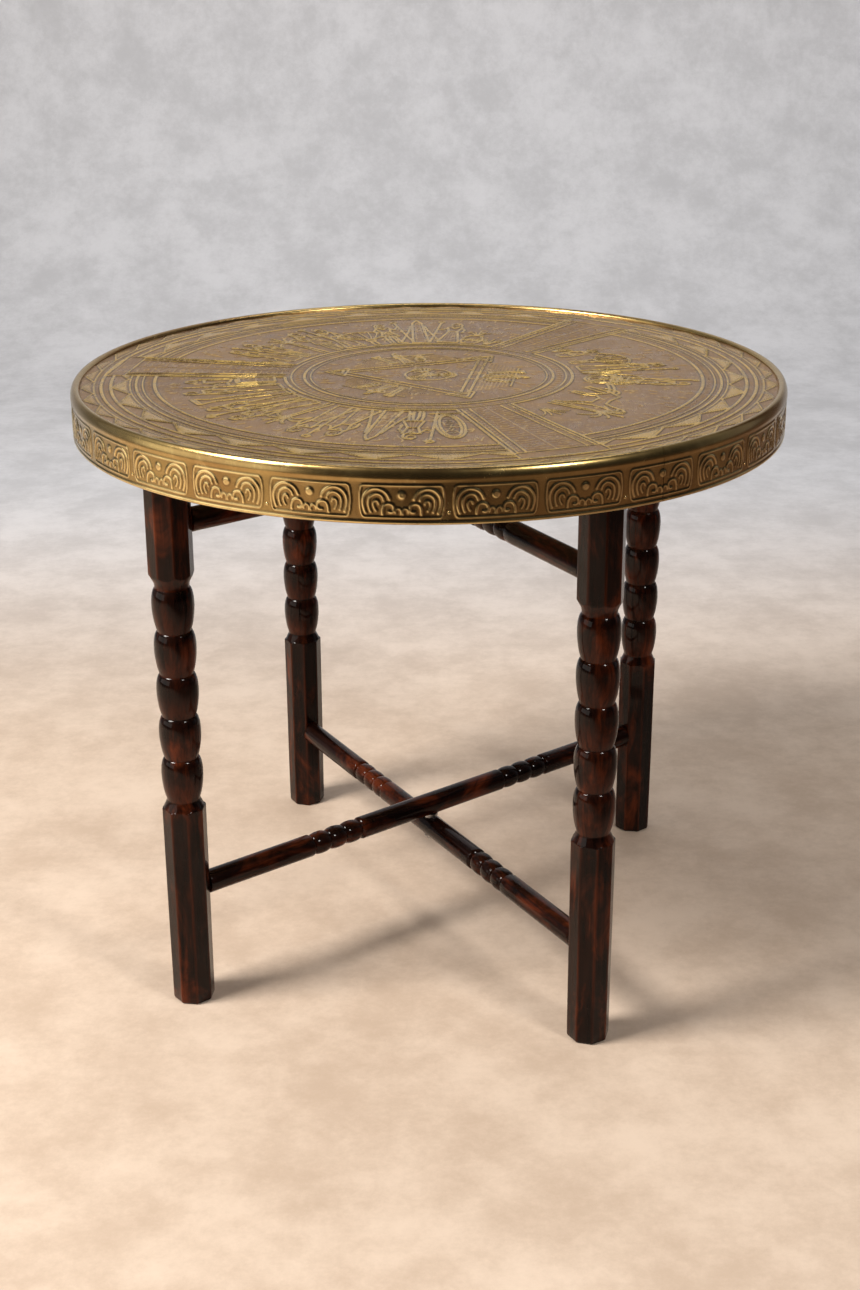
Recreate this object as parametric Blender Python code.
"""Folding tray table: a loose brass-clad tray resting on a stand of two crossed frames.

Each frame is a pair of legs joined by a lower stretcher and an upper rail. The two frames cross
on the table's centre line, where two vertical pivot screws let them close like scissors.
+Z is up, the floor is z = 0, and the origin lies under the centre of the tray.
An azimuth is counted in degrees from the front (-Y), positive towards +X.
"""
import math

import bmesh
import bpy
from mathutils import Matrix, Vector

# Driving dimensions, in metres
HEIGHT = 0.509            # floor to the crown of the rim
TRAY_RADIUS = 0.300       # outside of the brass skirt
SKIRT_HEIGHT = 0.0415
GAP = 0.0003              # clearance between pieces that touch

# Stand
LEG_RADIUS = 0.2608       # leg axis to the table's axis
FRAME_A_ANGLE = 38.3      # degrees from +X to the back leg on the right
FRAME_B_ANGLE = -60.2     # degrees from +X to the front leg on the right
FOOT_APOTHEM = 0.0164     # half the width across the flats of the octagon
SHIN_APOTHEM = 0.0170
HEAD_APOTHEM = 0.0171
SHIN_TOP = 0.178
BEAD_BASE = 0.1895
BEAD_PITCH = 0.0369
BEAD_COUNT = 5
BEAD_RADIUS = 0.0170
NECK_RADIUS = 0.0150
COVE_HEIGHT = 0.0050
HEAD_BASE = 0.3855        # where the upper octagon is full

# Crossbars
BAR_RADIUS = 0.0100
STRETCHER_A_Z = 0.1040
RAIL_A_Z = 0.4256
CROSSING_PITCH = 0.0216   # frame B's bars pass this far below frame A's
TENON_RADIUS = 0.0065
TENON_LENGTH = 0.022
RING_GROUP_OFFSET = 0.109  # bar centre to the middle of a group of turned beads
RING_PITCH = 0.017
RING_COUNT = 3
GROOVE_DEPTH = 0.0012
GROOVE_HALF_WIDTH = 0.0010

# Pivots
FLAT_DEPTH = 0.0010
FLAT_LENGTH = 0.017
SCREW_RADIUS = 0.0025
SCREW_HEAD_RADIUS = 0.0048
SCREW_HEAD_HEIGHT = 0.0030
SCREW_DEPTH = 0.0147      # thread inside frame A's bar
SLOT_WIDTH = 0.0012
SLOT_DEPTH = 0.0014
HEAD_WASHER = (0.0060, 0.0012)    # outer radius, thickness
SPACER_WASHER = (0.0065, 0.0030)
WASHER_BORE = SCREW_RADIUS + GAP

# Tray
SKIRT_THICKNESS = 0.0016  # thin sheet together with the depth of its relief
CROWN_RADIUS = 0.2955     # circle of the crown's highest points
CROWN_DROP = 0.0030       # crown down to the top sheet
LIP_RADIUS = 0.2922
LIP_THICKNESS = 0.0010
SHEET_THICKNESS = 0.0008
MARGIN_DROP = 0.0003      # the sheet's edge is pressed down this far to pass under the lip
BOARD_THICKNESS = 0.0134
HOOP_INNER_RADIUS = 0.2865
HOOP_BLOCKS = 8
HOOP_START = 20.0         # azimuth of one joint between blocks
SEAM_AZIMUTH = 35.0
PIN_COUNT = 14
PIN_START = 2.7           # azimuth of the first pin
PIN_DROP = 0.0325         # crown down to the pins
PIN_SHANK_RADIUS = 0.0006
PIN_HEAD_RADIUS = 0.0013
PIN_HEAD_THICKNESS = 0.00045
PIN_LENGTH = 0.0075

ROUND_STEP = 5            # degrees between the facets of the tray's round pieces
OCTAGON_CORNER = 1 / math.cos(math.radians(22.5))


def clear_scene():
    for obj in list(bpy.data.objects):
        bpy.data.objects.remove(obj, do_unlink=True)


def make_material(name, colour, roughness, metallic):
    material = bpy.data.materials.new(name)
    material.use_nodes = True
    shader = material.node_tree.nodes["Principled BSDF"]
    shader.inputs["Base Color"].default_value = (*colour, 1.0)
    shader.inputs["Roughness"].default_value = roughness
    shader.inputs["Metallic"].default_value = metallic
    material.diffuse_color = (*colour, 1.0)
    return material


def make_empty(name, location=(0, 0, 0), angle=0.0):
    empty = bpy.data.objects.new(name, None)
    empty.location = location
    empty.rotation_euler.z = math.radians(angle)
    bpy.context.scene.collection.objects.link(empty)
    return empty


def make_object(name, bm, material, parent=None, location=(0, 0, 0)):
    """Turn a bmesh into a smooth-shaded object, placed under its parent."""
    bmesh.ops.recalc_face_normals(bm, faces=bm.faces)
    mesh = bpy.data.meshes.new(name)
    bm.to_mesh(mesh)
    bm.free()
    mesh.shade_smooth()
    mesh.set_sharp_from_angle(angle=math.radians(30))
    obj = bpy.data.objects.new(name, mesh)
    bpy.context.scene.collection.objects.link(obj)
    obj.parent = parent
    obj.location = location
    if material:
        mesh.materials.append(material)
    return obj


def loft(bm, rings, closed=False):
    """Join rings of points into one skin. An open loft is capped at both ends."""
    rows = [[bm.verts.new(point) for point in ring] for ring in rings]
    count = len(rows[0])
    pairs = list(zip(rows, rows[1:]))
    if closed:
        pairs.append((rows[-1], rows[0]))
    for low, high in pairs:
        for i in range(count):
            j = (i + 1) % count
            bm.faces.new((low[i], low[j], high[j], high[i]))
    if not closed:
        bm.faces.new(reversed(rows[0]))
        bm.faces.new(rows[-1])


def circle(radius, z, segments):
    angles = [math.tau * i / segments for i in range(segments)]
    return [Vector((radius * math.cos(a), radius * math.sin(a), z)) for a in angles]


def octagon(apothem, z):
    """An octagon with flats facing the axes, with a point at each corner and each flat's middle."""
    points = circle(apothem, z, 16)
    for corner in points[1::2]:
        corner.xy *= OCTAGON_CORNER
    return points


def turned(profile, segments):
    """A solid of revolution about Z from (z, radius) points, bottom to top."""
    bm = bmesh.new()
    loft(bm, [circle(radius, z, segments) for z, radius in profile])
    return bm


def annulus(inner, outer, low, high, segments):
    """A flat ring standing on z = low."""
    bm = bmesh.new()
    section = [(inner, low), (outer, low), (outer, high), (inner, high)]
    loft(bm, [circle(radius, z, segments) for radius, z in section], closed=True)
    return bm


def on_azimuth(radius, azimuth, z):
    angle = math.radians(azimuth)
    return Vector((radius * math.sin(angle), -radius * math.cos(angle), z))


def swept(section, start, end):
    """Sweep a closed (radius, z) section round the table's axis, with clear ends."""
    trim = math.degrees(GAP / 2 / TRAY_RADIUS)
    inner = range(int(start) + ROUND_STEP, int(end), ROUND_STEP)
    azimuths = [start + trim, *inner, end - trim]
    bm = bmesh.new()
    loft(bm, [[on_azimuth(radius, a, z) for radius, z in section] for a in azimuths])
    return bm


def elliptic_arc(centre, half_width, half_height, start, end, steps):
    """Points of an ellipse in the (radius, z) plane, between two angles in degrees."""
    points = []
    for i in range(steps + 1):
        angle = math.radians(start + (end - start) * i / steps)
        points.append((centre[0] + half_width * math.cos(angle),
                       centre[1] + half_height * math.sin(angle)))
    return points


def make_cutter(name, bm, parent=None, location=(0, 0, 0)):
    cutter = make_object(name, bm, None, parent, location)
    cutter.hide_render = True
    cutter.display_type = 'WIRE'
    return cutter


def cut(obj, cutter):
    modifier = obj.modifiers.new(cutter.name, 'BOOLEAN')
    modifier.operation = 'DIFFERENCE'
    modifier.solver = 'EXACT'
    modifier.object = cutter


def block(size, centre):
    bm = bmesh.new()
    bmesh.ops.create_cube(bm, size=1.0)
    bmesh.ops.scale(bm, vec=size, verts=bm.verts)
    bmesh.ops.translate(bm, vec=centre, verts=bm.verts)
    return bm


def along_x(bm):
    """Lay a solid turned about Z on its side, so that its axis is X."""
    bmesh.ops.rotate(bm, matrix=Matrix.Rotation(math.radians(90), 3, 'Y'), verts=bm.verts)
    return bm


def shin_apothem(z):
    return FOOT_APOTHEM + (SHIN_APOTHEM - FOOT_APOTHEM) * min(z / SHIN_TOP, 1.0)


def leg_apothem(z):
    return shin_apothem(z) if z < BEAD_BASE else HEAD_APOTHEM


def leg_solid():
    """Octagonal foot, five turned barrel beads, a cove and an octagonal head, as one stick."""
    foot_chamfer = 0.0025
    leg_top = HEIGHT - CROWN_DROP - SHEET_THICKNESS - BOARD_THICKNESS - 2 * GAP
    bead_top = BEAD_BASE + BEAD_COUNT * BEAD_PITCH
    rings = [
        octagon(FOOT_APOTHEM - foot_chamfer, 0.0),
        octagon(FOOT_APOTHEM, foot_chamfer),
        octagon(SHIN_APOTHEM, SHIN_TOP),
        circle(SHIN_APOTHEM, SHIN_TOP + 0.0035, 16),
        circle(0.0158, SHIN_TOP + 0.0085, 16),
    ]
    for i in range(BEAD_COUNT):
        base = BEAD_BASE + i * BEAD_PITCH
        rings.append(circle(NECK_RADIUS, base, 16))
        rings.append(circle(0.0165, base + 0.25 * BEAD_PITCH, 16))
        rings.append(circle(BEAD_RADIUS, base + 0.65 * BEAD_PITCH, 16))
        rings.append(circle(0.0164, base + 0.92 * BEAD_PITCH, 16))
    rings += [
        circle(NECK_RADIUS, bead_top, 16),
        circle(NECK_RADIUS, bead_top + COVE_HEIGHT, 16),
        octagon(HEAD_APOTHEM, HEAD_BASE),
        octagon(HEAD_APOTHEM, leg_top - GAP),
    ]
    bm = bmesh.new()
    loft(bm, rings)
    return bm


def mortise_solid(z):
    """Clearance for one bar's tenon, in a leg whose bar comes from -X."""
    mouth = leg_apothem(z) + GAP
    depth = TENON_LENGTH + GAP
    bm = turned([(-mouth - 0.004, TENON_RADIUS + GAP), (-mouth + depth, TENON_RADIUS + GAP)], 12)
    along_x(bm)
    bmesh.ops.translate(bm, vec=(0, 0, z), verts=bm.verts)
    return bm


def bar_profile(shoulder):
    """(position along the bar, radius) of a turned bar with a tenon at each end."""
    rounding = 0.0015
    half = [(0.0, BAR_RADIUS)]
    first = RING_GROUP_OFFSET - RING_COUNT * RING_PITCH / 2
    for i in range(RING_COUNT + 1):
        groove = first + i * RING_PITCH
        half.append((groove - GROOVE_HALF_WIDTH, BAR_RADIUS))
        half.append((groove, BAR_RADIUS - GROOVE_DEPTH))
        half.append((groove + GROOVE_HALF_WIDTH, BAR_RADIUS))
    half += [
        (shoulder - rounding, BAR_RADIUS),
        (shoulder, BAR_RADIUS - rounding),
        (shoulder, TENON_RADIUS),
        (shoulder + TENON_LENGTH, TENON_RADIUS),
    ]
    return [(-x, r) for x, r in reversed(half[1:])] + half


def make_bar(name, z, flat_sides, hole, material, parent):
    """A turned bar at height z, flatted where the pivot's washers bear, with the screw's hole."""
    shoulder = LEG_RADIUS - leg_apothem(z) - GAP
    bar = make_object(name, along_x(turned(bar_profile(shoulder), 12)), material, parent, (0, 0, z))
    for side in flat_sides:
        centre = (0, 0, z + side * (BAR_RADIUS + 0.005 - FLAT_DEPTH))
        flat = block((FLAT_LENGTH, 0.030, 0.010), centre)
        cut(bar, make_cutter(f"{name}_flat_{side}", flat, parent))
    low, high = hole
    shaft = turned([(low, SCREW_RADIUS + GAP), (high, SCREW_RADIUS + GAP)], 12)
    cut(bar, make_cutter(f"{name}_hole", shaft, parent))
    return bar


def make_frame(letter, parent, stretcher_z, rail_z, leg_names, material, upper_bar):
    """Two legs and their two crossbars. The upper bar of a crossing takes the screws' ends."""
    for side, name in zip((1, -1), leg_names):
        angle = 0 if side > 0 else 180
        seat = make_empty(f"{name}_seat", (side * LEG_RADIUS, 0, 0), angle)
        seat.parent = parent
        leg = make_object(name, leg_solid(), material, seat)
        for z in (stretcher_z, rail_z):
            cut(leg, make_cutter(f"{name}_mortise_{z:.3f}", mortise_solid(z), seat))
    for name, z in ((f"lower_stretcher_{letter}", stretcher_z), (f"upper_rail_{letter}", rail_z)):
        underside = z - BAR_RADIUS
        if upper_bar:
            hole = (underside - 0.002, underside + FLAT_DEPTH + SCREW_DEPTH + GAP)
            make_bar(name, z, (-1,), hole, material, parent)
        else:
            hole = (underside - 0.002, z + BAR_RADIUS + 0.002)
            make_bar(name, z, (1, -1), hole, material, parent)


def make_pivot(name, bar_a_z, material, parent):
    """Slotted screw, head washer and spacer washer of one crossing."""
    seat_b = bar_a_z - CROSSING_PITCH - BAR_RADIUS + FLAT_DEPTH
    top_b = bar_a_z - CROSSING_PITCH + BAR_RADIUS - FLAT_DEPTH
    seat_a = bar_a_z - BAR_RADIUS + FLAT_DEPTH

    head_radius, head_thickness = HEAD_WASHER
    washer_low = seat_b - GAP - head_thickness
    washer = annulus(WASHER_BORE, head_radius, washer_low, seat_b - GAP, 16)
    make_object(f"{name}_head_washer", washer, material, parent)

    spacer_radius, spacer_thickness = SPACER_WASHER
    middle = (top_b + seat_a) / 2
    spacer = annulus(WASHER_BORE, spacer_radius,
                     middle - spacer_thickness / 2, middle + spacer_thickness / 2, 16)
    make_object(f"{name}_spacer_washer", spacer, material, parent)

    head_top = washer_low - GAP
    head_low = head_top - SCREW_HEAD_HEIGHT
    screw_end = seat_a + SCREW_DEPTH
    profile = [
        (head_low, SCREW_HEAD_RADIUS * 0.6),
        (head_low + SCREW_HEAD_HEIGHT * 0.4, SCREW_HEAD_RADIUS * 0.92),
        (head_top - SCREW_HEAD_HEIGHT * 0.2, SCREW_HEAD_RADIUS),
        (head_top, SCREW_HEAD_RADIUS),
        (head_top, SCREW_RADIUS),
        (screw_end - 0.003, SCREW_RADIUS),
        (screw_end, SCREW_RADIUS * 0.4),
    ]
    screw = make_object(f"{name}_screw", turned(profile, 12), material, parent)
    slot = block((0.02, SLOT_WIDTH, 2 * SLOT_DEPTH), (0, 0, head_low))
    cut(screw, make_cutter(f"{name}_slot", slot, parent))


def skirt_section():
    """The strip's section: up the outside, over the crown, down the lip and back inside."""
    bottom = HEIGHT - SKIRT_HEIGHT
    centre = (CROWN_RADIUS, HEIGHT - CROWN_DROP)
    lip_z = centre[1] + GAP
    outer = [(TRAY_RADIUS, bottom)]
    outer += elliptic_arc(centre, TRAY_RADIUS - CROWN_RADIUS, CROWN_DROP, 0, 90, 3)
    outer += elliptic_arc(centre, CROWN_RADIUS - LIP_RADIUS, CROWN_DROP, 90, 180, 2)[1:-1]
    outer.append((LIP_RADIUS, lip_z))
    wall = TRAY_RADIUS - SKIRT_THICKNESS
    inner = [(LIP_RADIUS + LIP_THICKNESS, lip_z)]
    inner += elliptic_arc(centre, CROWN_RADIUS - LIP_RADIUS - LIP_THICKNESS,
                          CROWN_DROP - LIP_THICKNESS, 135, 90, 1)
    inner += elliptic_arc(centre, wall - CROWN_RADIUS, CROWN_DROP - LIP_THICKNESS, 45, 0, 1)
    inner.append((wall, bottom))
    return outer + inner


def hoop_section():
    """Rebated wooden hoop: its crest fills the crown, and the board sits on its ledge."""
    outer = TRAY_RADIUS - SKIRT_THICKNESS - GAP
    crest = HEIGHT - LIP_THICKNESS - GAP
    shoulder = HEIGHT - CROWN_DROP
    rebate = LIP_RADIUS + LIP_THICKNESS + GAP
    ledge = shoulder - SHEET_THICKNESS - BOARD_THICKNESS - 2 * GAP
    bottom = HEIGHT - SKIRT_HEIGHT + 0.0005
    return [
        (outer, bottom),
        (outer, shoulder - 0.001),
        (CROWN_RADIUS + 0.55 * (outer - CROWN_RADIUS), crest - 0.0012),
        (CROWN_RADIUS, crest - 0.0002),
        (rebate, shoulder + 0.0004),
        (rebate, ledge),
        (HOOP_INNER_RADIUS, ledge),
        (HOOP_INNER_RADIUS, bottom),
    ]


def disc(radius, low, high):
    return turned([(low, radius), (high, radius)], 360 // ROUND_STEP)


def sheet_profile(radius, low, high):
    """(z, radius) of the top sheet, whose pressed-down margin lies under the rim's lip."""
    margin = high - MARGIN_DROP
    return [
        (low, radius),
        (margin, radius),
        (margin, LIP_RADIUS - GAP),
        (high, LIP_RADIUS - GAP - MARGIN_DROP),
    ]


def pin_azimuths():
    return [PIN_START + 360 / PIN_COUNT * i for i in range(PIN_COUNT)]


def radial_solid(profile, azimuth, segments):
    """A small turned solid whose axis runs out from the table's axis at the pins' height."""
    bm = along_x(turned(profile, segments))
    bmesh.ops.rotate(bm, matrix=Matrix.Rotation(math.radians(azimuth - 90), 3, 'Z'), verts=bm.verts)
    bmesh.ops.translate(bm, vec=(0, 0, HEIGHT - PIN_DROP), verts=bm.verts)
    return bm


def make_tray(parent, brass, plain_wood):
    """Board, rebated hoop, embossed sheet, skirt strip and the pins that hold it."""
    sheet_top = HEIGHT - CROWN_DROP
    sheet_low = sheet_top - SHEET_THICKNESS
    board_top = sheet_low - GAP
    disc_radius = LIP_RADIUS + LIP_THICKNESS
    sheet = turned(sheet_profile(disc_radius, sheet_low, sheet_top), 360 // ROUND_STEP)
    make_object("top_sheet", sheet, brass, parent)
    board = disc(disc_radius, board_top - BOARD_THICKNESS, board_top)
    make_object("tray_board", board, plain_wood, parent)

    head_seat = TRAY_RADIUS - 0.0008
    hole_end = head_seat - PIN_LENGTH - GAP
    holes = bmesh.new()
    for azimuth in pin_azimuths():
        clearance = [
            (hole_end, PIN_SHANK_RADIUS + GAP),
            (head_seat - GAP, PIN_SHANK_RADIUS + GAP),
            (head_seat - GAP, PIN_HEAD_RADIUS + GAP),
            (TRAY_RADIUS + 0.002, PIN_HEAD_RADIUS + GAP),
        ]
        one = radial_solid(clearance, azimuth, 8)
        scrap = bpy.data.meshes.new("hole")
        one.to_mesh(scrap)
        one.free()
        holes.from_mesh(scrap)
        bpy.data.meshes.remove(scrap)
    cutter = make_cutter("pin_holes", holes)

    skirt = swept(skirt_section(), SEAM_AZIMUTH, SEAM_AZIMUTH + 360)
    cut(make_object("skirt_strip", skirt, brass, parent), cutter)
    for i in range(HOOP_BLOCKS):
        start = HOOP_START + i * 360 / HOOP_BLOCKS
        segment = swept(hoop_section(), start, start + 360 / HOOP_BLOCKS)
        cut(make_object(f"hoop_block_{i + 1}", segment, plain_wood, parent), cutter)
    for i, azimuth in enumerate(pin_azimuths()):
        pin = [
            (head_seat - PIN_LENGTH, PIN_SHANK_RADIUS * 0.3),
            (head_seat - PIN_LENGTH + 0.0015, PIN_SHANK_RADIUS),
            (head_seat, PIN_SHANK_RADIUS),
            (head_seat, PIN_HEAD_RADIUS),
            (head_seat + PIN_HEAD_THICKNESS, PIN_HEAD_RADIUS * 0.7),
        ]
        make_object(f"skirt_pin_{i + 1:02d}", radial_solid(pin, azimuth, 8), brass, parent)


def main():
    clear_scene()
    brass = make_material("brass", (0.56, 0.40, 0.17), 0.26, 1.0)
    lacquer = make_material("lacquered_wood", (0.035, 0.014, 0.008), 0.14, 0.0)
    plain_wood = make_material("plain_wood", (0.42, 0.28, 0.16), 0.6, 0.0)
    steel = make_material("steel", (0.55, 0.55, 0.56), 0.35, 1.0)

    frame_a = make_empty("frame_a_axis", angle=FRAME_A_ANGLE)
    frame_b = make_empty("frame_b_axis", angle=FRAME_B_ANGLE)
    make_frame("a", frame_a, STRETCHER_A_Z, RAIL_A_Z,
               ("leg_back_right", "leg_front_left"), lacquer, upper_bar=True)
    make_frame("b", frame_b, STRETCHER_A_Z - CROSSING_PITCH, RAIL_A_Z - CROSSING_PITCH,
               ("leg_front_right", "leg_back_left"), lacquer, upper_bar=False)
    make_pivot("lower_pivot", STRETCHER_A_Z, steel, frame_a)
    make_pivot("upper_pivot", RAIL_A_Z, steel, frame_a)
    make_tray(make_empty("tray_axis"), brass, plain_wood)


main()
